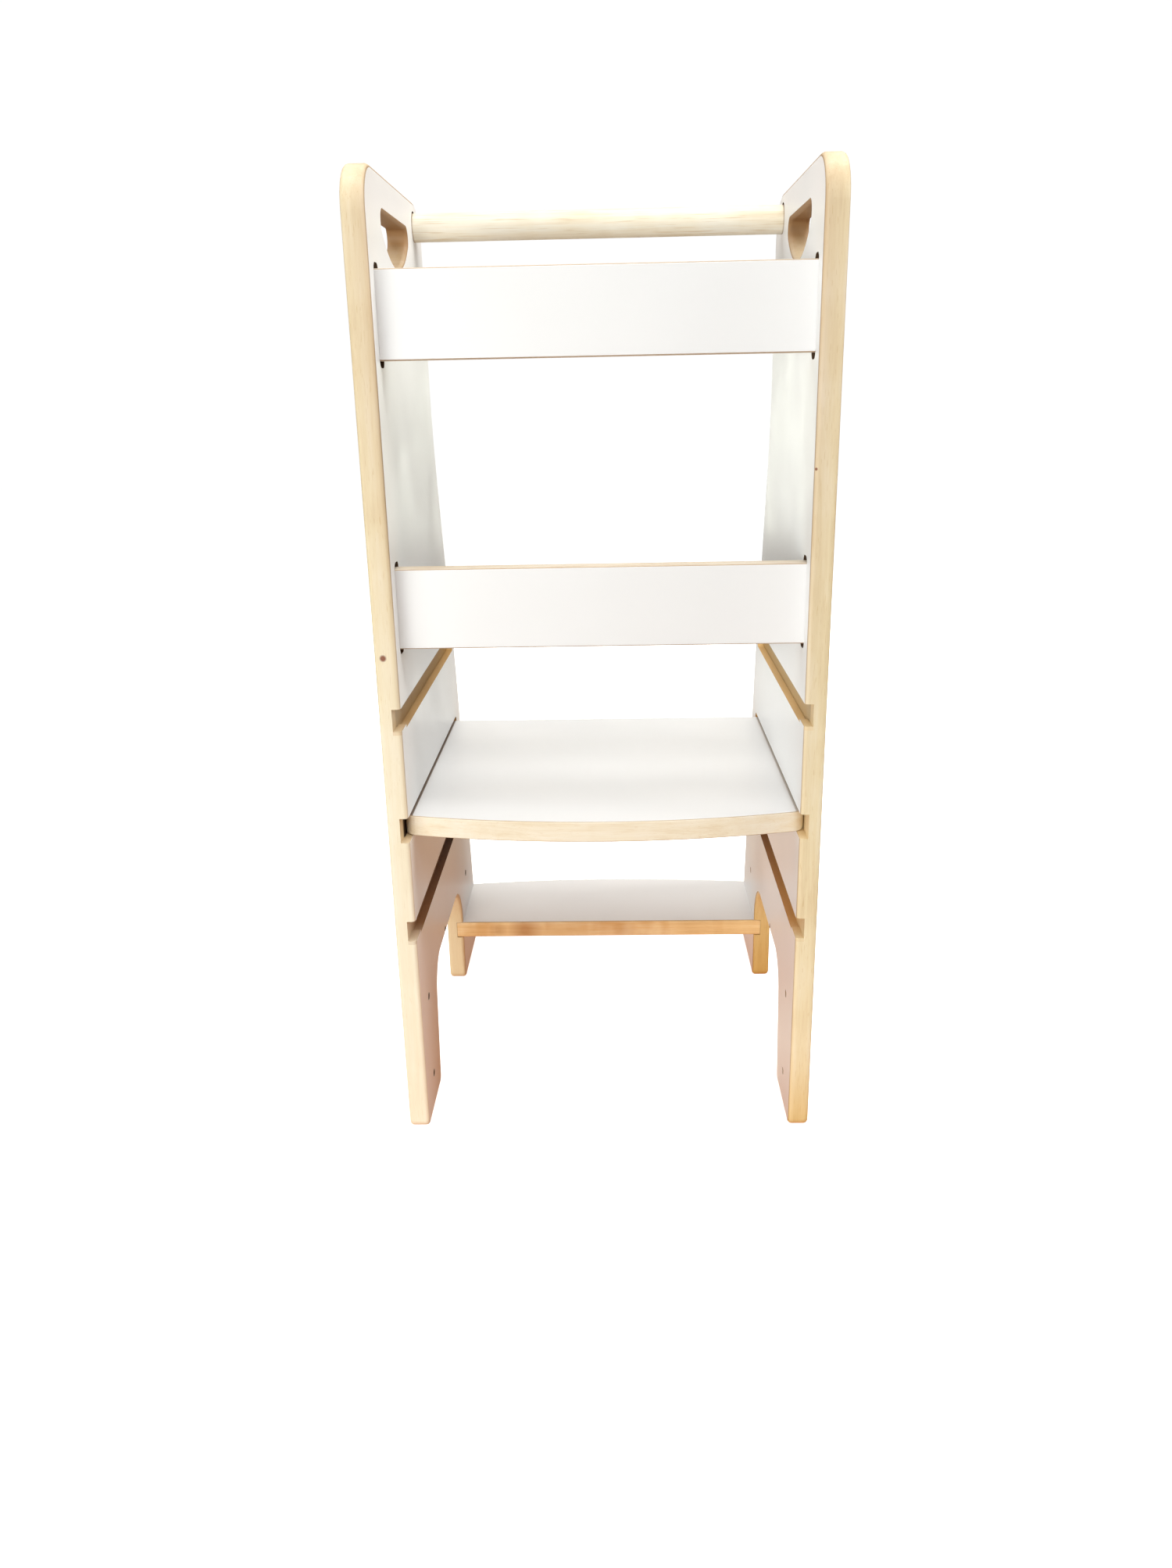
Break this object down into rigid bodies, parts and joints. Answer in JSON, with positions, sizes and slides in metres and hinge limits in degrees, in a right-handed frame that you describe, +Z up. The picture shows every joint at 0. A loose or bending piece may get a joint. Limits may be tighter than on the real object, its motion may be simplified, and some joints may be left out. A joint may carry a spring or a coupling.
{
  "type": "toddler kitchen helper stool",
  "caption": "Tall helper stool for a toddler: panel sides with hand holes, guard boards, a grab rail, a rear step and a platform that slides in grooves.",
  "frame": {"origin": "on the floor, at the bottom centre of the bounding box", "axes": "+Z up, +X to the right seen from the front, -Y to the front, where the guard boards are"},
  "size_m": [0.4, 0.4563, 0.88],
  "materials": {
    "white_laminate": "satin white laminate with bare wood edges",
    "bare_wood": "satin clear lacquer",
    "screw_steel": "zinc plated"
  },
  "bodies": {
    "stool_frame": {"side_panel_left": "white_laminate", "side_panel_right": "white_laminate", "upper_guard_board": "white_laminate", "lower_guard_board": "white_laminate", "grab_rail": "bare_wood", "rear_step_board": "white_laminate", "guard_board_screws": "screw_steel", "step_board_screws": "screw_steel", "grab_rail_screws": "screw_steel"},
    "platform": {"standing_platform": "white_laminate"}
  },
  "joints": [
    {"name": "platform_slide", "type": "slide", "parent": "stool_frame", "child": "platform", "axis": [0, -1, 0], "range_m": [0, 0.33]}
  ]
}
